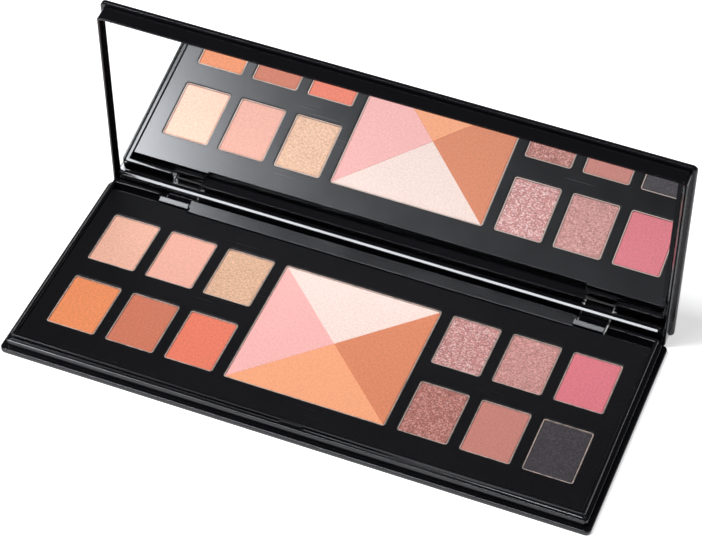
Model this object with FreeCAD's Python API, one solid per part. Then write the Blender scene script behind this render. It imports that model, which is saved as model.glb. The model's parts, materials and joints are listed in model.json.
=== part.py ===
# Eyeshadow palette: a flat hinged case with twelve small powder pans, a square face pan
# pressed with four triangular powders, and a bevelled mirror in the lid.
# Sizes are in millimetres. The base stands on z = 0 with its outline centred on the origin,
# +Z is up and the person using the palette sits on the -Y side. The lid is drawn closed and
# then turned open about its hinge pins.
import FreeCAD, Part
import os

# Pans and pressed powders, which the case is laid out around
shadow_pan_length = 24.7
shadow_pan_width = 18.0
shadow_columns = 3
shadow_column_gap = 4.36
shadow_row_gap = 9.5
face_pan_side = 59.2
face_pan_gap = 4.45
pan_wall = 0.35
pan_bottom = 0.35
pan_corner_radius = 1.0
pan_drop = 0.33
powder_drop = 0.12
powder_edge_bevel = 0.35
face_seam_bevel = 0.12
adhesive_thickness = 0.15
adhesive_margin = 4.0

# Base cover and base frame
plate_corner_radius = 2.0
plate_edge_bevel = 0.45
base_cover_thickness = 2.0
base_overhang = 1.75
rear_overhang = 1.2
base_wall_height = 3.15
wall_corner_radius = 1.5
shoulder_width = 1.5
shoulder_edge_bevel = 0.3
lip_height = 1.8
lip_width = 1.36
lip_corner_radius = 1.0
lip_edge_bevel = 0.2
rear_lip_width = 1.6
base_floor_thickness = 1.0

# Tray deck
deck_side_margin = 6.62
deck_front_margin = 10.11
deck_rear_margin = 10.58
deck_drop = 0.67
deck_thickness = 1.2
deck_clearance = 0.15
deck_rear_trough = 3.5
deck_skirt_width = 1.2
collar_width = 0.9
collar_foot_gap = 0.4
window_clearance = 0.3
window_corner_radius = 1.3

# Hinge
hinge_height = 1.25
pin_radius = 0.5
pin_running_clearance = 0.05
pin_fixed_clearance = 0.01
pin_grip = 3.6
knuckle_radius = 1.0
knuckle_width = 4.0
knuckle_cover_clearance = 0.15
hinge_inset = 28.3
lug_width = 10.3
lug_radius = 1.15
lug_side_clearance = 1.35
lug_front_clearance = 0.5
lug_neck_front = 0.35
lug_root_round = 0.6
beam_depth = 5.8
beam_wall = 1.2

# Lid
lid_open_angle = 82.9
lid_front_setback = 0.55
lid_overhang = 1.4
lid_parting_gap = 0.3
rim_depth = 2.1
rim_wall = 0.9
rim_corner_radius = 1.2
rim_edge_bevel = 0.2
rim_draft = 0.9
rim_front_draft = 0.15
rear_rail_width = 3.35
rear_rail_step = 0.1
lid_floor_thickness = 1.7
lid_cover_thickness = 2.1

# Mirror
mirror_thickness = 1.9
mirror_clearance = 0.3
mirror_corner_radius = 1.2
mirror_bevel_width = 1.5
mirror_bevel_depth = 0.35
mirror_tape_thickness = 0.2
mirror_tape_margin = 4.0

# Front snap
snap_length = 8.5
snap_bead_radius = 0.55
snap_bead_height = 0.34
snap_bead_below_lip = 0.75
snap_groove_depth = 0.3
snap_groove_margin = 0.6

# Levels, from the table up with the lid closed
shoulder_top = base_cover_thickness + base_wall_height
lip_top = shoulder_top + lip_height
floor_top = base_cover_thickness + base_floor_thickness
deck_top = lip_top - deck_drop
pan_foot = floor_top + adhesive_thickness
pan_top = deck_top - pan_drop
powder_top = pan_top - powder_drop
rim_front = shoulder_top + lid_parting_gap
mirror_face = rim_front + rim_depth
rail_face = mirror_face - rear_rail_step
pocket_floor = mirror_face + mirror_thickness + mirror_tape_thickness
cover_seat = pocket_floor + lid_floor_thickness
lid_top = cover_seat + lid_cover_thickness

# Distances sideways from the middle of the case, from the pans outwards
column_pitch = shadow_pan_width + shadow_column_gap
first_column = face_pan_side / 2 + face_pan_gap + shadow_pan_width / 2
field_half = first_column + (shadow_columns - 1) * column_pitch + shadow_pan_width / 2
cavity_half = field_half + deck_side_margin
lip_half = cavity_half + lip_width
wall_half = lip_half + shoulder_width
half_length = wall_half + base_overhang
lug_offset = half_length - hinge_inset

# Distances from front to back, with the middle of the base outline at y = 0
row_offset = (shadow_pan_length + shadow_row_gap) / 2
field_reach = max(face_pan_side / 2, row_offset + shadow_pan_length / 2)
depth_before_field = base_overhang + shoulder_width + lip_width + deck_front_margin + field_reach
depth_after_field = field_reach + deck_rear_margin + beam_depth + rear_overhang
case_depth = depth_before_field + depth_after_field
half_depth = case_depth / 2
field_y = depth_before_field - half_depth
wall_front = -half_depth + base_overhang
wall_rear = half_depth - rear_overhang
lip_front = wall_front + shoulder_width
cavity_front = lip_front + lip_width
cavity_rear = wall_rear - rear_lip_width
hinge_y = wall_rear - knuckle_radius
slot_front = hinge_y - lug_radius - lug_front_clearance
slot_half = lug_width / 2 + lug_side_clearance
beam_half = lug_offset - slot_half
beam_front = wall_rear - beam_depth
deck_rear = cavity_rear - deck_rear_trough
lid_front = -half_depth + lid_front_setback
rim_half = half_length - lid_overhang
rim_outer_front = lid_front + lid_overhang
rim_inner_half = rim_half - rim_wall
rim_inner_front = rim_outer_front + rim_wall
pocket_half = rim_inner_half - rim_draft
pocket_front = rim_inner_front + rim_front_draft
pocket_rear = wall_rear - rear_rail_width


def point(x, y, z):
    return FreeCAD.Vector(x, y, z)


def rounded_wire(x_low, x_high, y_low, y_high, z, radius):
    """Level rectangle with round corners, as a closed wire."""
    corners = [
        (x_high - radius, y_high - radius, 0),
        (x_low + radius, y_high - radius, 90),
        (x_low + radius, y_low + radius, 180),
        (x_high - radius, y_low + radius, 270),
    ]
    arcs = []
    for x, y, start in corners:
        arcs.append(Part.makeCircle(radius, point(x, y, z), point(0, 0, 1), start, start + 90))
    edges = []
    for arc, following in zip(arcs, arcs[1:] + arcs[:1]):
        edges.append(arc)
        arc_end = arc.valueAt(arc.LastParameter)
        next_start = following.valueAt(following.FirstParameter)
        edges.append(Part.makeLine(arc_end, next_start))
    return Part.Wire(edges)


def rounded_prism(x_low, x_high, y_low, y_high, z_low, z_high, radius):
    """Upright block with round corners in plan."""
    outline = Part.Face(rounded_wire(x_low, x_high, y_low, y_high, z_low, radius))
    return outline.extrude(point(0, 0, z_high - z_low))


def block(x_low, x_high, y_low, y_high, z_low, z_high):
    """Square-cornered block."""
    return Part.makeBox(x_high - x_low, y_high - y_low, z_high - z_low, point(x_low, y_low, z_low))


def level_edges(shape, z):
    """Edges of a shape that lie flat at one height."""
    found = []
    for edge in shape.Edges:
        heights = [spot.z for spot in edge.discretize(3)]
        if max(abs(height - z) for height in heights) < 0.001:
            found.append(edge)
    return found


def round_pin(x_low, x_high, y, z, radius):
    """Cylinder along X."""
    return Part.makeCylinder(radius, x_high - x_low, point(x_low, y, z), point(1, 0, 0))


def cross_section(x_low, x_high, wire):
    """Solid drawn as a section across the case and run along X."""
    return Part.Face(wire).extrude(point(x_high - x_low, 0, 0))


# Where each window and pan goes: centre, half width and half depth
shadow_places = []
for row_name, row_side in (("back", 1), ("front", -1)):
    y = field_y + row_side * row_offset
    for column in range(shadow_columns):
        left_x = -first_column - (shadow_columns - 1 - column) * column_pitch
        right_x = first_column + column * column_pitch
        shadow_places.append((f"left_{row_name}_{column + 1}", left_x, y))
        shadow_places.append((f"right_{row_name}_{column + 1}", right_x, y))
face_place = (0.0, field_y)
pockets = [(x, y, shadow_pan_width / 2, shadow_pan_length / 2) for label, x, y in shadow_places]
pockets.append((*face_place, face_pan_side / 2, face_pan_side / 2))

# Base cover: flat plate with bevelled edges, cut away at the back around both hinges
base_cover = rounded_prism(
    -half_length, half_length, -half_depth, half_depth, 0, base_cover_thickness, plate_corner_radius
)
cover_edges = level_edges(base_cover, 0) + level_edges(base_cover, base_cover_thickness)
base_cover = base_cover.makeChamfer(plate_edge_bevel, cover_edges)
notch_half = slot_half + knuckle_width + knuckle_cover_clearance
for side in (-1, 1):
    notch = block(
        side * lug_offset - notch_half,
        side * lug_offset + notch_half,
        slot_front,
        case_depth,
        -base_cover_thickness,
        base_cover_thickness * 2,
    )
    base_cover = base_cover.cut(notch)

# Base frame: wall with a shoulder for the lid rim to sit over, and a raised lip inside it
wall = rounded_prism(
    -wall_half, wall_half, wall_front, wall_rear, base_cover_thickness, shoulder_top, wall_corner_radius
)
wall = wall.makeChamfer(shoulder_edge_bevel, level_edges(wall, shoulder_top))
lip = rounded_prism(
    -lip_half, lip_half, lip_front, wall_rear, base_cover_thickness, lip_top, lip_corner_radius
)
cavity = block(-cavity_half, cavity_half, cavity_front, cavity_rear, floor_top, lip_top * 2)
base_frame = wall.fuse(lip).cut(cavity)

# Hinge beam between the two hinges, level with the lip and cored out from below
beam = block(-beam_half, beam_half, beam_front, wall_rear, base_cover_thickness, lip_top)
base_frame = base_frame.fuse(beam).removeSplitter()
base_frame = base_frame.makeChamfer(lip_edge_bevel, level_edges(base_frame, lip_top))
beam_core = block(
    -beam_half + beam_wall,
    beam_half - beam_wall,
    beam_front + beam_wall,
    wall_rear - beam_wall,
    0,
    lip_top - beam_wall,
)
base_frame = base_frame.cut(beam_core)

# Hinge slots through the lip and floor, each between two round-bottomed knuckles for the pin
for side in (-1, 1):
    middle = side * lug_offset
    slot = block(middle - slot_half, middle + slot_half, slot_front, case_depth, 0, lip_top * 2)
    base_frame = base_frame.cut(slot)
    for inner, outer in ((-slot_half - knuckle_width, -slot_half), (slot_half, slot_half + knuckle_width)):
        x = middle + inner
        front_top = point(x, hinge_y - knuckle_radius, floor_top)
        front_low = point(x, hinge_y - knuckle_radius, hinge_height)
        bottom = point(x, hinge_y, hinge_height - knuckle_radius)
        rear_low = point(x, hinge_y + knuckle_radius, hinge_height)
        rear_top = point(x, hinge_y + knuckle_radius, floor_top)
        section = Part.Wire(
            [
                Part.makeLine(front_top, front_low),
                Part.Arc(front_low, bottom, rear_low).toShape(),
                Part.makeLine(rear_low, rear_top),
                Part.makeLine(rear_top, front_top),
            ]
        )
        base_frame = base_frame.fuse(cross_section(middle + inner, middle + outer, section))
    pin_hole = round_pin(
        middle - slot_half - knuckle_width,
        middle + slot_half + knuckle_width,
        hinge_y,
        hinge_height,
        pin_radius + pin_fixed_clearance,
    )
    base_frame = base_frame.cut(pin_hole)

# Snap bead on the front of the lip
snap_height = lip_top - snap_bead_below_lip
snap_bead = round_pin(
    -snap_length / 2,
    snap_length / 2,
    lip_front - snap_bead_height + snap_bead_radius,
    snap_height,
    snap_bead_radius,
)
base_frame = base_frame.fuse(snap_bead).removeSplitter()

# Hinge pins: one in each hinge, gripped by the knuckles on both sides of the slot
pins = []
for side in (-1, 1):
    pin_low = side * lug_offset - slot_half - pin_grip
    pin_high = side * lug_offset + slot_half + pin_grip
    pins.append(round_pin(pin_low, pin_high, hinge_y, hinge_height, pin_radius))
hinge_pins = Part.makeCompound(pins)

# Tray deck: plate with a skirt that stands on the floor and a collar below each window
deck_half = cavity_half - deck_clearance
deck_front = cavity_front + deck_clearance
deck_under = deck_top - deck_thickness
tray_deck = block(-deck_half, deck_half, deck_front, deck_rear, floor_top, deck_top)
beam_clearance = block(
    -beam_half - deck_clearance,
    beam_half + deck_clearance,
    beam_front - deck_clearance,
    case_depth,
    0,
    lip_top * 2,
)
tray_deck = tray_deck.cut(beam_clearance)
hollow = block(
    -deck_half + deck_skirt_width,
    deck_half - deck_skirt_width,
    deck_front + deck_skirt_width,
    beam_front - deck_clearance - deck_skirt_width,
    0,
    deck_under,
)
for x, y, half_x, half_y in pockets:
    collar_x = half_x + window_clearance + collar_width
    collar_y = half_y + window_clearance + collar_width
    collar = block(
        x - collar_x, x + collar_x, y - collar_y, y + collar_y, floor_top + collar_foot_gap, deck_top
    )
    hollow = hollow.cut(collar)
tray_deck = tray_deck.cut(hollow)
for x, y, half_x, half_y in pockets:
    window_x = half_x + window_clearance
    window_y = half_y + window_clearance
    window = rounded_prism(
        x - window_x, x + window_x, y - window_y, y + window_y, 0, lip_top * 2, window_corner_radius
    )
    tray_deck = tray_deck.cut(window)


def pan_shell(x, y, half_x, half_y):
    """Open metal pan with round upright corners."""
    outside = rounded_prism(
        x - half_x, x + half_x, y - half_y, y + half_y, pan_foot, pan_top, pan_corner_radius
    )
    inside = rounded_prism(
        x - half_x + pan_wall,
        x + half_x - pan_wall,
        y - half_y + pan_wall,
        y + half_y - pan_wall,
        pan_foot + pan_bottom,
        lip_top * 2,
        pan_corner_radius - pan_wall,
    )
    return outside.cut(inside)


def powder_cake(x, y, half_x, half_y):
    """Pressed powder that fills a pan, with its corners cut off and its top edge bevelled."""
    cake = block(
        x - half_x + pan_wall,
        x + half_x - pan_wall,
        y - half_y + pan_wall,
        y + half_y - pan_wall,
        pan_foot + pan_bottom,
        powder_top,
    )
    uprights = [edge for edge in cake.Edges if abs(edge.tangentAt(edge.FirstParameter).z) > 0.5]
    cake = cake.makeChamfer(pan_corner_radius - pan_wall, uprights)
    return cake.makeChamfer(powder_edge_bevel, level_edges(cake, powder_top))


# Shadow pans and their powders
pan_nodes = {}
for label, x, y in shadow_places:
    half_x = shadow_pan_width / 2
    half_y = shadow_pan_length / 2
    pan_nodes[f"shadow_pan_{label}"] = pan_shell(x, y, half_x, half_y)
    pan_nodes[f"shadow_powder_{label}"] = powder_cake(x, y, half_x, half_y)

# Face pan and the four triangular powders that meet along its diagonals
face_half = face_pan_side / 2
face_x, face_y = face_place
pan_nodes["face_pan"] = pan_shell(face_x, face_y, face_half, face_half)
face_cake = powder_cake(face_x, face_y, face_half, face_half)
quarter_turns = (("front", 0), ("right", 90), ("back", 180), ("left", 270))
for quarter_name, turn in quarter_turns:
    corners = [
        point(face_x, face_y, 0),
        point(face_x - face_half, face_y - face_half, 0),
        point(face_x + face_half, face_y - face_half, 0),
        point(face_x, face_y, 0),
    ]
    wedge = Part.Face(Part.makePolygon(corners)).extrude(point(0, 0, lip_top))
    wedge.rotate(point(face_x, face_y, 0), point(0, 0, 1), turn)
    quarter = face_cake.common(wedge)
    seams = []
    for edge in level_edges(quarter, powder_top):
        direction = edge.tangentAt(edge.FirstParameter)
        if abs(abs(direction.x) - abs(direction.y)) < 0.01:
            seams.append(edge)
    pan_nodes[f"face_powder_{quarter_name}"] = quarter.makeChamfer(face_seam_bevel, seams)

# Pads of adhesive between the pans and the floor
pads = []
for x, y, half_x, half_y in pockets:
    pad_x = half_x - adhesive_margin
    pad_y = half_y - adhesive_margin
    pads.append(block(x - pad_x, x + pad_x, y - pad_y, y + pad_y, floor_top, pan_foot))
pan_adhesive = Part.makeCompound(pads)

# Lid frame: floor with a rim on three sides, a mirror pocket and a low rail along the hinge side
lid_frame = rounded_prism(
    -rim_half, rim_half, rim_outer_front, wall_rear, rim_front, cover_seat, rim_corner_radius
)
lid_frame = lid_frame.makeChamfer(rim_edge_bevel, level_edges(lid_frame, rim_front))
recess_mouth = rounded_wire(
    -rim_inner_half - rim_edge_bevel,
    rim_inner_half + rim_edge_bevel,
    rim_inner_front - rim_edge_bevel,
    case_depth,
    rim_front,
    rim_corner_radius,
)
recess_throat = rounded_wire(
    -rim_inner_half,
    rim_inner_half,
    rim_inner_front,
    case_depth,
    rim_front + rim_edge_bevel,
    rim_corner_radius,
)
recess_floor = rounded_wire(
    -pocket_half, pocket_half, pocket_front, case_depth, rail_face, rim_corner_radius
)
recess = Part.makeLoft([recess_mouth, recess_throat, recess_floor], True, True)
lid_frame = lid_frame.cut(recess)
pocket = rounded_prism(
    -pocket_half, pocket_half, pocket_front, pocket_rear, rim_front, pocket_floor, rim_corner_radius
)
lid_frame = lid_frame.cut(pocket)

# Hinge lugs: round at the pin, leaning back to the rail, with a rounded root
for side in (-1, 1):
    lug_low = side * lug_offset - lug_width / 2
    lug_high = side * lug_offset + lug_width / 2
    neck_front = hinge_y - lug_neck_front
    front_low = point(lug_low, hinge_y - lug_radius, hinge_height)
    bottom = point(lug_low, hinge_y, hinge_height - lug_radius)
    rear_low = point(lug_low, hinge_y + lug_radius, hinge_height)
    rear_top = point(lug_low, wall_rear, cover_seat - lid_floor_thickness / 2)
    neck_top = point(lug_low, neck_front, cover_seat - lid_floor_thickness / 2)
    neck_root = point(lug_low, neck_front, rail_face)
    section = Part.Wire(
        [
            Part.Arc(front_low, bottom, rear_low).toShape(),
            Part.makeLine(rear_low, rear_top),
            Part.makeLine(rear_top, neck_top),
            Part.makeLine(neck_top, neck_root),
            Part.makeLine(neck_root, front_low),
        ]
    )
    lid_frame = lid_frame.fuse(cross_section(lug_low, lug_high, section))
lid_frame = lid_frame.removeSplitter()
roots = []
for edge in level_edges(lid_frame, rail_face):
    ends = [spot.y for spot in edge.discretize(2)]
    if max(abs(end - hinge_y + lug_neck_front) for end in ends) < 0.001:
        roots.append(edge)
lid_frame = lid_frame.makeFillet(lug_root_round, roots)
for side in (-1, 1):
    pin_bore = round_pin(
        side * lug_offset - lug_width,
        side * lug_offset + lug_width,
        hinge_y,
        hinge_height,
        pin_radius + pin_running_clearance,
    )
    lid_frame = lid_frame.cut(pin_bore)

# Snap groove inside the front of the rim, level with the bead on the base
snap_groove = block(
    -snap_length / 2 - snap_groove_margin,
    snap_length / 2 + snap_groove_margin,
    rim_inner_front - snap_groove_depth,
    rim_inner_front + rim_wall,
    snap_height - snap_bead_radius,
    snap_height + snap_bead_radius,
)
lid_frame = lid_frame.cut(snap_groove)

# Lid cover: flat plate with bevelled edges
lid_cover = rounded_prism(
    -half_length, half_length, lid_front, half_depth, cover_seat, lid_top, plate_corner_radius
)
cover_edges = level_edges(lid_cover, cover_seat) + level_edges(lid_cover, lid_top)
lid_cover = lid_cover.makeChamfer(plate_edge_bevel, cover_edges)

# Mirror: glass with a shallow ground bevel all round its face, and the tape behind it
mirror_half = pocket_half - mirror_clearance
mirror_front = pocket_front + mirror_clearance
mirror_rear = pocket_rear - mirror_clearance
bevel_back = mirror_face + mirror_bevel_depth
bevel_inner = rounded_wire(
    -mirror_half + mirror_bevel_width,
    mirror_half - mirror_bevel_width,
    mirror_front + mirror_bevel_width,
    mirror_rear - mirror_bevel_width,
    mirror_face,
    mirror_corner_radius / 2,
)
bevel_outer = rounded_wire(
    -mirror_half, mirror_half, mirror_front, mirror_rear, bevel_back, mirror_corner_radius
)
mirror = Part.makeLoft([bevel_inner, bevel_outer], True, True)
mirror_body = rounded_prism(
    -mirror_half,
    mirror_half,
    mirror_front,
    mirror_rear,
    bevel_back,
    mirror_face + mirror_thickness,
    mirror_corner_radius,
)
mirror = mirror.fuse(mirror_body).removeSplitter()
mirror_tape = block(
    -mirror_half + mirror_tape_margin,
    mirror_half - mirror_tape_margin,
    mirror_front + mirror_tape_margin,
    mirror_rear - mirror_tape_margin,
    mirror_face + mirror_thickness,
    pocket_floor,
)

base_nodes = {
    "base_cover": base_cover,
    "base_frame": base_frame,
    "tray_deck": tray_deck,
    "hinge_pins": hinge_pins,
    "pan_adhesive": pan_adhesive,
    **pan_nodes,
}
lid_nodes = {
    "lid_frame": lid_frame,
    "lid_cover": lid_cover,
    "mirror": mirror,
    "mirror_tape": mirror_tape,
}

# Stand the lid open about the hinge pins
for shape in lid_nodes.values():
    shape.rotate(point(0, hinge_y, hinge_height), point(-1, 0, 0), lid_open_angle)

os.makedirs("parts", exist_ok=True)
for name, shape in {**base_nodes, **lid_nodes}.items():
    shape.exportStep(f"parts/{name}.step")
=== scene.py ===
import json
import math

import bmesh
import bpy
from mathutils import Matrix, Vector


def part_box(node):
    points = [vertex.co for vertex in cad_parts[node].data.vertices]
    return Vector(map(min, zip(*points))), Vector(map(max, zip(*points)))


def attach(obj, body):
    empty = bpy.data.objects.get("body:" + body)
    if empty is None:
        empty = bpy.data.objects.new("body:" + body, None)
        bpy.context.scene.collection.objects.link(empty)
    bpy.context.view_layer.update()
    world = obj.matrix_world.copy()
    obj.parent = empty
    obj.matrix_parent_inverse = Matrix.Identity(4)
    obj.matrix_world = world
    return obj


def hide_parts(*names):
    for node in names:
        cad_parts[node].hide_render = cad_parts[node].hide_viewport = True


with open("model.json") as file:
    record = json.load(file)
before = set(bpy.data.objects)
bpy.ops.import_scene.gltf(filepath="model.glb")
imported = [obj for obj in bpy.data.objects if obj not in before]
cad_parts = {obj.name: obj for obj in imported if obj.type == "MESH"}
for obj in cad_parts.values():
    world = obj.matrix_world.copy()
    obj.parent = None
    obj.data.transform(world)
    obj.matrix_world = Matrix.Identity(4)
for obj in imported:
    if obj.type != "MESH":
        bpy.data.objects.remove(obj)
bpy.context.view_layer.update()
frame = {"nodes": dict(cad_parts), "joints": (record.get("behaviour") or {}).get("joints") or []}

# Bottom plate: the flat moulding that the palette stands on, in glossy black plastic. It is wider
# than the wall above it, reaches back under the foot of the open lid, and is cut away around the
# knuckles and lugs of both hinges.

mm = 0.001


class Shade:
    """One socket of a material: sums on it add Math nodes, and node() adds any other node."""

    def __init__(self, tree, socket=None):
        self.tree = tree
        self.socket = socket

    def node(self, kind, settings, sockets, output=0):
        """Adds a node with its settings and its sockets' values or links, and gives one of its outputs."""
        made = self.tree.nodes.new(kind)
        for name, value in settings.items():
            setattr(made, name, value)
        for name, value in sockets.items():
            if isinstance(value, Shade):
                self.tree.links.new(value.socket, made.inputs[name])
            else:
                made.inputs[name].default_value = value
        return None if output is None else Shade(self.tree, made.outputs[output])

    def math(self, operation, first, second):
        return self.node("ShaderNodeMath", {"operation": operation}, {0: first, 1: second})

    def __add__(self, other):
        return self.math("ADD", self, other)

    def __sub__(self, other):
        return self.math("SUBTRACT", self, other)

    def __rsub__(self, other):
        return self.math("SUBTRACT", other, self)

    def __mul__(self, other):
        return self.math("MULTIPLY", self, other)

    __radd__ = __add__
    __rmul__ = __mul__

    def above(self, low, high):
        """0 below low, 1 above high and smooth between."""
        return self.node(
            "ShaderNodeMapRange",
            {"interpolation_type": "SMOOTHSTEP"},
            {"Value": self, "From Min": low, "From Max": high},
        )

    def tint(self, dark, light):
        """A colour that runs from dark to light with this value."""
        return self.node(
            "ShaderNodeMix", {"data_type": "RGBA"}, {0: self, 6: (*dark, 1.0), 7: (*light, 1.0)}, 2
        )


def new_finish(name):
    """An empty material, and the object coordinates that its patterns start from."""
    material = bpy.data.materials.new(name)
    material.use_nodes = True
    material.node_tree.nodes.clear()
    start = Shade(material.node_tree)
    place = start.node("ShaderNodeTexCoord", {}, {}, "Object")
    return material, place


def grain(place, scale, detail=2.0, rough=0.5):
    """Even noise on the object's own coordinates, from 0 to 1."""
    return place.node(
        "ShaderNodeTexNoise",
        {},
        {"Vector": place, "Scale": scale, "Detail": detail, "Roughness": rough},
        "Fac",
    )


def close_finish(place, sockets):
    """A Principled surface with these sockets, joined to the material's output."""
    surface = place.node("ShaderNodeBsdfPrincipled", {}, sockets)
    place.node("ShaderNodeOutputMaterial", {}, {"Surface": surface}, None)


def rounded_edges(place, radius):
    """The surface's normal with its sharp edges rounded off, and a mask of how near each spot is to an
    edge.
    """
    soft = place.node("ShaderNodeBevel", {"samples": 6}, {"Radius": radius}, "Normal")
    flat = place.node("ShaderNodeNewGeometry", {}, {}, "Normal")
    match = place.node("ShaderNodeVectorMath", {"operation": "DOT_PRODUCT"}, {0: soft, 1: flat}, "Value")
    return soft, (1.0 - match).above(0.01, 0.16)


def black_moulding(name, gloss, edge_radius, index):
    """Black plastic: slow mould waves, a thin haze of handling, fine scratches, and edges lightened partly
    as rubbed wear and partly as a painted highlight.
    """
    material, place = new_finish(name)
    soft, edge = rounded_edges(place, edge_radius)
    haze = grain(place, scale=55.0, detail=3.0, rough=0.6)
    speck = grain(place, scale=2600.0, detail=1.0)
    waves = grain(place, scale=24.0, detail=1.0)
    stretched = place.node(
        "ShaderNodeMapping",
        {},
        {"Vector": place, "Rotation": (0.0, 0.0, 0.5), "Scale": (40.0, 2600.0, 900.0)},
    )
    scratch = grain(stretched, scale=1.0, detail=1.0).above(0.70, 0.76) * haze.above(0.50, 0.62)
    height = waves * 0.6 + speck * 0.012 + scratch * -0.05
    normal = place.node(
        "ShaderNodeBump", {}, {"Strength": 0.12, "Distance": 0.4 * mm, "Height": height, "Normal": soft}
    )
    # The base colour is lighter along edges: partly rubbed wear, partly a painted highlight.
    shade = haze * 0.35 + speck * 0.15 + edge * 0.5
    close_finish(
        place,
        {
            "Base Color": shade.tint((0.0020, 0.0019, 0.0028), (0.0075, 0.0072, 0.0092)),
            "Roughness": gloss + haze * 0.06 + scratch * 0.10 + edge * 0.06,
            "Normal": normal,
            "IOR": index,
            "Specular Tint": (0.93, 0.95, 1.0, 1.0),
        },
    )
    return material


def is_level(edge):
    """Whether both ends of an edge are at the same height, to a hundredth of a millimetre."""
    return abs(edge.verts[0].co.z - edge.verts[1].co.z) < 0.01 * mm


def upright_plate(low, high, corner):
    """Plate with round upright corners, between its lowest and highest corner."""
    shape = bmesh.new()
    bmesh.ops.create_cube(shape, size=1.0)
    bmesh.ops.scale(shape, verts=shape.verts, vec=high - low)
    bmesh.ops.translate(shape, verts=shape.verts, vec=(low + high) / 2)
    uprights = [edge for edge in shape.edges if not is_level(edge)]
    bmesh.ops.bevel(
        shape, geom=uprights, offset=corner, segments=6, profile=0.5, affect="EDGES", material=-1
    )
    return shape


def new_piece(name, shape):
    """Object with a bmesh as its mesh."""
    data = bpy.data.meshes.new(name)
    shape.to_mesh(data)
    shape.free()
    piece = bpy.data.objects.new(name, data)
    bpy.context.scene.collection.objects.link(piece)
    return piece


def work_on(piece, operation, tool_shape):
    """Cuts a shape out of a piece with DIFFERENCE, or welds it on with UNION."""
    tool = new_piece("tool", tool_shape)
    step = piece.modifiers.new("step", "BOOLEAN")
    step.operation = operation
    step.solver = "EXACT"
    step.object = tool
    shaped = piece.evaluated_get(bpy.context.evaluated_depsgraph_get())
    before = piece.data
    after = bpy.data.meshes.new_from_object(shaped)
    piece.modifiers.clear()
    piece.data = after
    bpy.data.meshes.remove(before)
    bpy.data.objects.remove(tool)


def straight_bar(x_low, x_high, outline):
    """Bar along X with an outline of (y, z) corners."""
    shape = bmesh.new()
    end = shape.faces.new([shape.verts.new((x_low, y, z)) for y, z in outline])
    run = bmesh.ops.extrude_face_region(shape, geom=[end])
    far_end = [item for item in run["geom"] if isinstance(item, bmesh.types.BMVert)]
    bmesh.ops.translate(shape, verts=far_end, vec=(x_high - x_low, 0.0, 0.0))
    bmesh.ops.recalc_face_normals(shape, faces=shape.faces)
    return shape


def stand_in(piece, node_name, body, material, sharp_angle=16.0):
    """Shows a piece in place of a CAD node, smooth up to an angle in degrees, or flat if that is 0."""
    piece.data.materials.clear()
    piece.data.materials.append(material)
    piece.data.polygons.foreach_set("use_smooth", [sharp_angle > 0.0] * len(piece.data.polygons))
    piece.data.set_sharp_from_angle(angle=math.radians(sharp_angle))
    if sharp_angle > 0.0:
        even_shading = piece.modifiers.new("even_shading", "WEIGHTED_NORMAL")
        even_shading.keep_sharp = True
    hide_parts(node_name)
    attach(piece, body)


case_black = black_moulding("case_black", gloss=0.14, edge_radius=0.22 * mm, index=1.50)

plate_low, plate_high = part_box("base_cover")
plate_corner = 2.0 * mm
plate_edge = 0.45 * mm
plate_reach_back = 1.55 * mm
plate_shape = upright_plate(plate_low, plate_high + Vector((0.0, plate_reach_back, 0.0)), plate_corner)
level_edges = [edge for edge in plate_shape.edges if is_level(edge)]
bmesh.ops.bevel(
    plate_shape, geom=level_edges, offset=plate_edge, segments=2, profile=0.5, affect="EDGES", material=-1
)
base_plate = new_piece("base_plate", plate_shape)

# The tongue carries the plate's back edge further, a hair thinner than the plate itself.
tongue_half = plate_high.x - 3.8 * mm
tongue_front = plate_high.y + 0.85 * mm
tongue_rear = plate_high.y + 3.4 * mm
tongue_edge = 0.4 * mm
tongue_inset = 0.02 * mm
tongue_outline = [
    (tongue_front, plate_low.z + tongue_inset),
    (tongue_rear - tongue_edge, plate_low.z + tongue_inset),
    (tongue_rear, plate_low.z + tongue_edge),
    (tongue_rear, plate_high.z - tongue_edge),
    (tongue_rear - tongue_edge, plate_high.z - tongue_inset),
    (tongue_front, plate_high.z - tongue_inset),
]
work_on(base_plate, "UNION", straight_bar(-tongue_half, tongue_half, tongue_outline))

# The foot is a thin lip along the plate's underside, below the edge of the open lid.
foot_half = plate_high.x - 2.4 * mm
foot_front = tongue_front - 0.1 * mm
foot_rear = plate_high.y + 4.85 * mm
foot_low = plate_low.z + 0.04 * mm
foot_high = plate_low.z + 0.5 * mm
foot_lower_edge = 0.2 * mm
foot_upper_edge = 0.15 * mm
foot_outline = [
    (foot_front, foot_low),
    (foot_rear - foot_lower_edge, foot_low),
    (foot_rear, plate_low.z + foot_lower_edge),
    (foot_rear, foot_high - foot_upper_edge),
    (foot_rear - foot_upper_edge, foot_high),
    (foot_front, foot_high),
]
work_on(base_plate, "UNION", straight_bar(-foot_half, foot_half, foot_outline))

# Each hinge has a wide notch for the knuckles and a narrow one for the lug, open to the back.
lid_hinge = frame["joints"][0]
hinge = Vector(lid_hinge["pos_m"])
hinge_offset = plate_high.x - 28.3 * mm
slot_half = 5.6 * mm
knuckle_half = 10.65 * mm
notch_front = hinge.y - 1.65 * mm
knuckle_rear = hinge.y + 1.15 * mm
past_the_back = plate_high.y * 2
notch_corner = 0.1 * mm
for side in (-1, 1):
    middle = side * hinge_offset
    for half, rear in ((knuckle_half, knuckle_rear), (slot_half, past_the_back)):
        notch_low = Vector((middle - half, notch_front, -plate_high.z))
        notch_high = Vector((middle + half, rear, plate_high.z * 2))
        work_on(base_plate, "DIFFERENCE", upright_plate(notch_low, notch_high, notch_corner))
stand_in(base_plate, "base_cover", "base", case_black)

# Base frame: the wall, shoulder, lip and floor of the base, moulded in one in black plastic and
# welded to the bottom plate. Behind the tray its hinge beam is a sunk shelf that slopes up to the
# back, and a small sill stands in front of each hinge.


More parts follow.
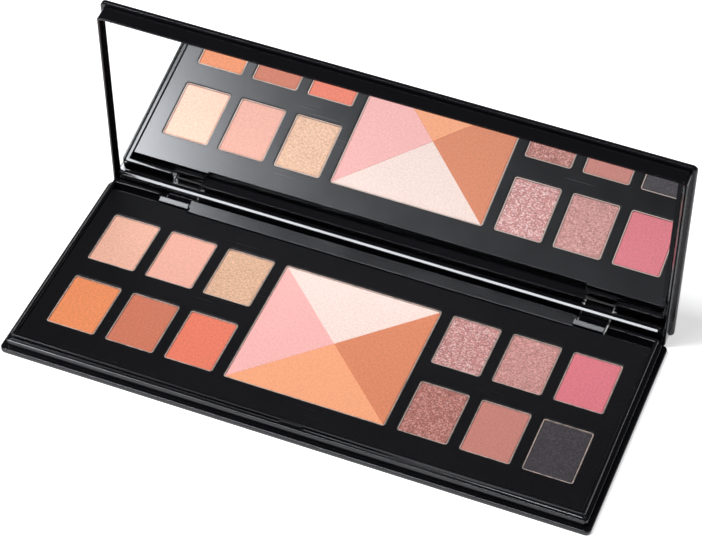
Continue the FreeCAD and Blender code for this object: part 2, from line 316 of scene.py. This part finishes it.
def copied_moulding(name, node_name):
    """Object with a merged copy of a CAD node's mesh, ready to be worked on."""
    shape = bmesh.new()
    shape.from_mesh(frame["nodes"][node_name].data)
    bmesh.ops.remove_doubles(shape, verts=shape.verts, dist=0.0005 * mm)
    return new_piece(name, shape)


base_moulding = copied_moulding("base_moulding", "base_frame")
lip_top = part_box("base_frame")[1].z
deck_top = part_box("tray_deck")[1].z

# The CAD node's flat hinge beam is cut away, as far as the outer side of each hinge opening.
opening_half = 6.6 * mm
gap_half = hinge_offset + opening_half
gap_front = hinge.y - 5.25 * mm
gap_rear = hinge.y + 2.45 * mm
gap_floor = plate_high.z + 0.9 * mm
gap_top = lip_top + 1.05 * mm
gap_outline = [(gap_front, gap_floor), (gap_rear, gap_floor), (gap_rear, gap_top), (gap_front, gap_top)]
work_on(base_moulding, "DIFFERENCE", straight_bar(-gap_half, gap_half, gap_outline))

# The shelf runs between the hinges, with a low step in front of it and an overhang at its back.
beam_half = hinge_offset - slot_half
step_front = hinge.y - 4.65 * mm
step_top = plate_high.z + 0.95 * mm
shelf_front = hinge.y - 2.9 * mm
shelf_rear = hinge.y + 1.85 * mm
shelf_low = deck_top - 1.38 * mm
shelf_high = deck_top - 0.04 * mm
shelf_edge = 0.15 * mm
shelf_foot = plate_high.z + 0.1 * mm
back_wall = hinge.y + 0.95 * mm
overhang_drop = 1.25 * mm
shelf_outline = [
    (step_front, shelf_foot),
    (step_front, step_top),
    (shelf_front, step_top),
    (shelf_front, shelf_low - shelf_edge),
    (shelf_front + shelf_edge, shelf_low),
    (shelf_rear - shelf_edge, shelf_high),
    (shelf_rear, shelf_high - shelf_edge),
    (shelf_rear, shelf_low),
    (back_wall, shelf_low - overhang_drop),
    (back_wall, shelf_foot),
]
work_on(base_moulding, "UNION", straight_bar(-beam_half, beam_half, shelf_outline))

# A sill fills the front of each slot, and a low cheek on either side narrows the opening to the slot.
sill_half = slot_half + 0.05 * mm
sill_foot = plate_high.z + 0.8 * mm
sill_rear = hinge.y - 0.95 * mm
sill_high = deck_top + 0.57 * mm
sill_front_drop = 0.1 * mm
sill_nose = 1.1 * mm
sill_undercut = 0.75 * mm
sill_outline = [
    (shelf_front, sill_foot),
    (shelf_front, deck_top - sill_front_drop),
    (shelf_front + shelf_edge, deck_top),
    (sill_rear - shelf_edge, sill_high),
    (sill_rear, sill_high - shelf_edge),
    (sill_rear, sill_high - sill_nose),
    (sill_rear - sill_undercut, sill_high - sill_nose - sill_undercut),
    (sill_rear - sill_undercut, sill_foot),
]
cheek_front = hinge.y - 1.75 * mm
cheek_low = plate_high.z - 0.1 * mm
cheek_high = plate_high.z + 0.85 * mm
cheek_outline = [
    (cheek_front, cheek_low),
    (back_wall, cheek_low),
    (back_wall, cheek_high),
    (cheek_front, cheek_high),
]
for side in (-1, 1):
    middle = side * hinge_offset
    work_on(base_moulding, "UNION", straight_bar(middle - sill_half, middle + sill_half, sill_outline))
    for left, right in ((-opening_half, -slot_half), (slot_half, opening_half)):
        work_on(base_moulding, "UNION", straight_bar(middle + left, middle + right, cheek_outline))
stand_in(base_moulding, "base_frame", "base", case_black)

# Tray deck: the flat insert that covers the floor and frames the pans. It is moulded in black
# plastic with a slightly softer gloss than the case, and it drops into the base frame.


def wear_node(node_name, material):
    """Gives a carried-over CAD node its finish."""
    slots = frame["nodes"][node_name].data.materials
    slots.clear()
    slots.append(material)


wear_node("tray_deck", black_moulding("deck_black", gloss=0.20, edge_radius=0.22 * mm, index=1.62))

# Pans: thin trays pressed from tinned sheet, with a plain cut rim that shows as a pale line
# around each powder. Each one is glued to the floor of the base.


def pan_metal_finish():
    """Drawn tinplate, dulled in places by a dusting of powder."""
    material, place = new_finish("pan_metal")
    drawn = place.node("ShaderNodeMapping", {}, {"Vector": place, "Scale": (900.0, 900.0, 60.0)})
    lines = grain(drawn, scale=1.0, detail=3.0, rough=0.6)
    dusting = grain(place, scale=700.0, detail=3.0, rough=0.6).above(0.30, 0.65)
    normal = place.node("ShaderNodeBump", {}, {"Strength": 0.15, "Distance": 0.1 * mm, "Height": lines})
    close_finish(
        place,
        {
            "Base Color": dusting.tint((0.42, 0.39, 0.37), (0.60, 0.46, 0.41)),
            "Metallic": 0.75 - dusting * 0.6,
            "Roughness": 0.42 + dusting * 0.25,
            "Normal": normal,
        },
    )
    return material


pan_metal = pan_metal_finish()
for group in ("left", "right"):
    for row in ("back", "front"):
        for column in (1, 2, 3):
            wear_node(f"shadow_pan_{group}_{row}_{column}", pan_metal)
wear_node("face_pan", pan_metal)

# Pressed powders: cakes of pigment, talc and mica pressed into the pans. Matte shades show only
# a fine grain, satin shades a soft sheen, and glitter shades scattered flakes whose pale colour is a
# painted glint.


def powder_finish(name, colour, flakes=0.0, sheen=0.0):
    """Pressed powder: a fine grain in colour and height, with mica flakes where it shimmers, painted pale
    as glints.
    """
    material, place = new_finish(name)
    fine = grain(place, scale=1200.0, detail=4.0, rough=0.75)
    press = grain(place, scale=120.0)
    cells = place.node("ShaderNodeTexVoronoi", {}, {"Vector": place, "Scale": 2300.0}, "Color")
    chance = place.node("ShaderNodeSeparateColor", {}, {"Color": cells}, 0)
    flake = chance.above(0.60, 0.92)
    shimmer = min(1.0, 1.6 * flakes)
    mix = fine.above(0.28, 0.72) * (0.88 - 0.62 * shimmer) + chance * (0.62 * shimmer) + press * 0.12
    depth = 0.16 + 0.52 * shimmer
    dark = [level * (1.0 - depth) for level in colour]
    light = [min(1.0, level * (1.0 + 0.8 * depth)) for level in colour]
    # The flakes' pale colour is a painted glint, standing in for light caught by the mica.
    painted_glint_colour = [min(1.0, 0.45 * level + 0.55) for level in colour]
    paint = place.node(
        "ShaderNodeMix",
        {"data_type": "RGBA"},
        {0: flake * (0.85 * flakes * flakes), 6: mix.tint(dark, light), 7: (*painted_glint_colour, 1.0)},
        2,
    )
    height = fine * 0.6 + press * 0.25 + chance * (0.9 * flakes)
    normal = place.node("ShaderNodeBump", {}, {"Strength": 0.30, "Distance": 0.12 * mm, "Height": height})
    close_finish(
        place,
        {
            "Base Color": paint,
            "Metallic": flake * (0.15 * flakes) + 0.12 * sheen,
            "Roughness": 0.58 - 0.22 * sheen - flake * (0.15 * flakes) + fine * 0.06,
            "Normal": normal,
            "Sheen Weight": 0.04,
        },
    )
    return material


# Each shade has its colour, its share of flakes and its sheen.
shadow_shades = {
    "left_back_1": ((0.95, 0.47, 0.35), 0.14, 0.9),
    "left_back_2": ((0.84, 0.42, 0.33), 0.0, 0.25),
    "left_back_3": ((0.73, 0.44, 0.29), 0.32, 0.5),
    "left_front_1": ((0.82, 0.265, 0.105), 0.10, 0.3),
    "left_front_2": ((0.60, 0.175, 0.10), 0.02, 0.2),
    "left_front_3": ((0.81, 0.195, 0.117), 0.02, 0.2),
    "right_back_1": ((0.64, 0.275, 0.262), 1.0, 0.8),
    "right_back_2": ((0.59, 0.266, 0.245), 0.50, 0.35),
    "right_back_3": ((0.73, 0.187, 0.228), 0.0, 0.3),
    "right_front_1": ((0.475, 0.17, 0.14), 0.62, 0.5),
    "right_front_2": ((0.575, 0.219, 0.182), 0.02, 0.2),
    "right_front_3": ((0.036, 0.030, 0.038), 0.26, 0.1),
}
for pan_place, (colour, flakes, sheen) in shadow_shades.items():
    wear_node(f"shadow_powder_{pan_place}", powder_finish(f"powder_{pan_place}", colour, flakes, sheen))

# Face powders: four triangular shades pressed side by side in the square pan, all matte and
# finely milled.

face_colours = {
    "left": (0.97, 0.47, 0.45),
    "back": (0.96, 0.73, 0.67),
    "front": (0.97, 0.385, 0.20),
    "right": (0.71, 0.238, 0.12),
}
for side, colour in face_colours.items():
    wear_node(f"face_powder_{side}", powder_finish(f"powder_face_{side}", colour))

# Glue pads and tape: soft set glue under the pans, and a sheet of double-sided tape behind the
# mirror. Both are out of sight in use.


def soft_bond_finish(name, dark, light):
    """Mottled, slightly uneven glue."""
    material, place = new_finish(name)
    mottle = grain(place, scale=700.0, detail=4.0, rough=0.6)
    normal = place.node("ShaderNodeBump", {}, {"Strength": 0.4, "Distance": 0.2 * mm, "Height": mottle})
    close_finish(
        place,
        {"Base Color": mottle.tint(dark, light), "Roughness": 0.5 + mottle * 0.2, "Normal": normal},
    )
    return material


wear_node("pan_adhesive", soft_bond_finish("adhesive", (0.62, 0.58, 0.46), (0.80, 0.76, 0.64)))
wear_node("mirror_tape", soft_bond_finish("mirror_tape", (0.68, 0.68, 0.65), (0.86, 0.86, 0.83)))

# Hinge pins: two lengths of drawn steel wire, one in each hinge. The knuckles of the base frame
# grip them at both ends, and the lugs of the lid turn on them.


def pin_steel_finish():
    """Bright steel with fine lines along its length."""
    material, place = new_finish("pin_steel")
    drawn = place.node("ShaderNodeMapping", {}, {"Vector": place, "Scale": (120.0, 6000.0, 6000.0)})
    lines = grain(drawn, scale=1.0, detail=3.0, rough=0.6)
    normal = place.node("ShaderNodeBump", {}, {"Strength": 0.2, "Distance": 0.1 * mm, "Height": lines})
    close_finish(
        place,
        {
            "Base Color": lines.tint((0.42, 0.42, 0.43), (0.66, 0.66, 0.67)),
            "Metallic": 1.0,
            "Roughness": 0.25 + lines * 0.2,
            "Normal": normal,
        },
    )
    return material


wear_node("hinge_pins", pin_steel_finish())

# Lid: the rim and floor that carry the mirror, moulded in black plastic with the two hinge lugs,
# and the plain top plate that is welded on behind. A low rail, bevelled towards the mirror, runs
# along the hinge side and holds the foot of the glass.

open_angle = math.radians(-lid_hinge["range_deg"][0])
lid_turn = Matrix.Rotation(open_angle, 4, Vector(lid_hinge["axis"]))
opening = Matrix.Translation(hinge) @ lid_turn @ Matrix.Translation(-hinge)

# The rail and its seat are drawn on the closed lid and then turned open with it.
seat_half = plate_high.x - 3.15 * mm
seat_front = hinge.y - 4.9 * mm
seat_rear = hinge.y - 1.2 * mm
seat_level = hinge.z + 6.18 * mm
seat_top = seat_level + 2.27 * mm
seat_outline = [
    (seat_front, seat_top),
    (seat_front, seat_level),
    (seat_rear, seat_level),
    (seat_rear, seat_top),
]
rail_half = plate_high.x - 5.0 * mm
rail_front = seat_front + 0.05 * mm
rail_rear = seat_rear - 0.1 * mm
rail_root = seat_level + 0.17 * mm
rail_shoulder = seat_level - 0.03 * mm
rail_bevel_depth = 0.27 * mm
rail_bevel_height = 0.963 * mm
nose_level = deck_top + 0.09 * mm
nose_front = rail_front + 0.31 * mm
nose_rear = rail_front + 0.7 * mm
rail_outline = [
    (rail_front, rail_root),
    (rail_front, rail_shoulder),
    (rail_front + rail_bevel_depth, rail_shoulder - rail_bevel_height),
    (nose_front, nose_level),
    (nose_rear, nose_level),
    (rail_rear, rail_shoulder),
    (rail_rear, rail_root),
]
lid_moulding = copied_moulding("lid_moulding", "lid_frame")
for half, outline in ((seat_half, seat_outline), (rail_half, rail_outline)):
    rail = straight_bar(-half, half, outline)
    bmesh.ops.transform(rail, matrix=opening, verts=rail.verts)
    work_on(lid_moulding, "UNION", rail)
lid_black = black_moulding("lid_black", gloss=0.09, edge_radius=0.05 * mm, index=1.50)
stand_in(lid_moulding, "lid_frame", "lid", lid_black)
wear_node("lid_cover", case_black)

# Mirror: silvered glass with a shallow ground bevel, stuck into its pocket in the lid. The silver
# is clean apart from a very faint bloom.


def mirror_finish():
    """Silver behind glass, with a trace of bloom and a few specks of dust."""
    material, place = new_finish("mirror_glass")
    bloom = grain(place, scale=30.0, detail=3.0, rough=0.6)
    dust = grain(place, scale=3000.0, detail=1.0).above(0.74, 0.80)
    close_finish(
        place,
        {
            "Base Color": bloom.tint((0.88, 0.89, 0.90), (0.93, 0.94, 0.94)),
            "Metallic": 1.0,
            "Roughness": bloom.above(0.35, 0.75) * 0.006 + dust * 0.03,
        },
    )
    return material


# The glass lies face down in the closed lid, and is then turned open with it.
mirror_half = plate_high.x - 3.5 * mm
mirror_front = plate_low.y + 3.3 * mm
mirror_foot = seat_front - 0.3 * mm
mirror_face = seat_level + 0.2 * mm
mirror_back = mirror_face + 1.82 * mm
mirror_corner = 1.2 * mm
mirror_low = Vector((-mirror_half, mirror_front, mirror_face))
mirror_high = Vector((mirror_half, mirror_foot, mirror_back))
mirror_shape = upright_plate(mirror_low, mirror_high, mirror_corner)
facing_down = -0.9
glass_bevel_width = 1.5 * mm
glass_bevel_depth = 0.08 * mm
glass_face = [face for face in mirror_shape.faces if face.normal.z < facing_down]
bmesh.ops.inset_region(mirror_shape, faces=glass_face, thickness=glass_bevel_width, depth=glass_bevel_depth)

# Cuts across the glass keep its flat triangles small, so that no long edge shows in the reflection.
cuts_across = 13
cuts_up = 5
for direction, cuts in ((Vector((1.0, 0.0, 0.0)), cuts_across), (Vector((0.0, 1.0, 0.0)), cuts_up)):
    for cut in range(1, cuts + 1):
        spot = mirror_low.lerp(mirror_high, cut / (cuts + 1))
        everything = [*mirror_shape.verts, *mirror_shape.edges, *mirror_shape.faces]
        bmesh.ops.bisect_plane(mirror_shape, geom=everything, plane_co=spot, plane_no=direction)
bmesh.ops.transform(mirror_shape, matrix=opening, verts=mirror_shape.verts)
mirror_glass = new_piece("mirror_glass", mirror_shape)
stand_in(mirror_glass, "mirror", "lid", mirror_finish(), sharp_angle=0.0)

# Studio: a wide pale floor, a soft box in front on the left, a weak one on the right, a narrow one
# overhead that lights the lid's rail, and the camera where the photograph was taken.

floor_size = 6.0
floor_shape = bmesh.new()
bmesh.ops.create_grid(floor_shape, x_segments=1, y_segments=1, size=floor_size)
floor = new_piece("floor", floor_shape)

# The floor's own glow shows only to the camera, in reflections and through glass.
floor_finish = bpy.data.materials.new("floor")
floor_finish.use_nodes = True
floor_finish.node_tree.nodes.clear()
floor_start = Shade(floor_finish.node_tree)
paper = floor_start.node("ShaderNodeBsdfDiffuse", {}, {"Color": (0.90, 0.90, 0.90, 1.0)})
lift = floor_start.node("ShaderNodeEmission", {}, {"Color": (1.0, 1.0, 1.0, 1.0), "Strength": 0.60})
seen = floor_start.node("ShaderNodeLightPath", {}, {}, "Is Camera Ray")
seen = seen + floor_start.node("ShaderNodeLightPath", {}, {}, "Is Glossy Ray")
seen = seen + floor_start.node("ShaderNodeLightPath", {}, {}, "Is Transmission Ray")
dark = floor_start.node("ShaderNodeEmission", {}, {"Strength": 0.0})
glow = floor_start.node("ShaderNodeMixShader", {}, {0: seen, 1: dark, 2: lift})
both = floor_start.node("ShaderNodeAddShader", {}, {0: paper, 1: glow})
floor_start.node("ShaderNodeOutputMaterial", {}, {"Surface": both}, None)
floor.data.materials.append(floor_finish)

world = bpy.data.worlds.new("studio")
bpy.context.scene.world = world
world.use_nodes = True
world.node_tree.nodes.clear()
air = Shade(world.node_tree)
room = air.node("ShaderNodeBackground", {}, {"Color": (0.95, 0.97, 1.0, 1.0), "Strength": 0.08})
air.node("ShaderNodeOutputWorld", {}, {"Surface": room}, None)

lamp_aim = Vector((0.0, 0.0, 0.03))


def soft_box(name, toward, distance, width, height, power):
    """Rectangular lamp that stands off along a direction and faces the palette, its width turned to X."""
    data = bpy.data.lights.new(name, "AREA")
    data.shape = "RECTANGLE"
    data.size = width
    data.size_y = height
    data.energy = power
    lamp = bpy.data.objects.new(name, data)
    bpy.context.scene.collection.objects.link(lamp)
    direction = Vector(toward).normalized()
    lamp.location = direction * distance + lamp_aim
    across = (Vector((1.0, 0.0, 0.0)) - direction * direction.x).normalized()
    lamp.rotation_euler = Matrix((across, direction.cross(across), direction)).transposed().to_euler()


soft_box("front_soft_box", (-0.56, -0.40, 0.85), distance=1.10, width=0.30, height=0.30, power=8.2)
soft_box("right_soft_box", (0.85, -0.10, 0.60), distance=1.30, width=0.50, height=0.50, power=0.8)
soft_box("top_strip", (-0.20, -0.225, 0.95), distance=1.10, width=0.50, height=0.12, power=5.1)

camera_azimuth = math.radians(18.585)
camera_elevation = math.radians(44.555)
camera_roll = math.radians(3.344)
camera_data = bpy.data.cameras.new("camera")
camera_data.sensor_width = 36.0
camera_data.lens = 141.40
camera = bpy.data.objects.new("camera", camera_data)
bpy.context.scene.collection.objects.link(camera)
camera.location = (0.21683, -0.63272, 0.69998)
turn = Matrix.Rotation(camera_azimuth, 3, "Z")
tilt = Matrix.Rotation(math.radians(90.0) - camera_elevation, 3, "X")
roll = Matrix.Rotation(camera_roll, 3, "Z")
camera.rotation_euler = (turn @ tilt @ roll).to_euler()
bpy.context.scene.camera = camera
bpy.context.scene.view_settings.view_transform = "Standard"
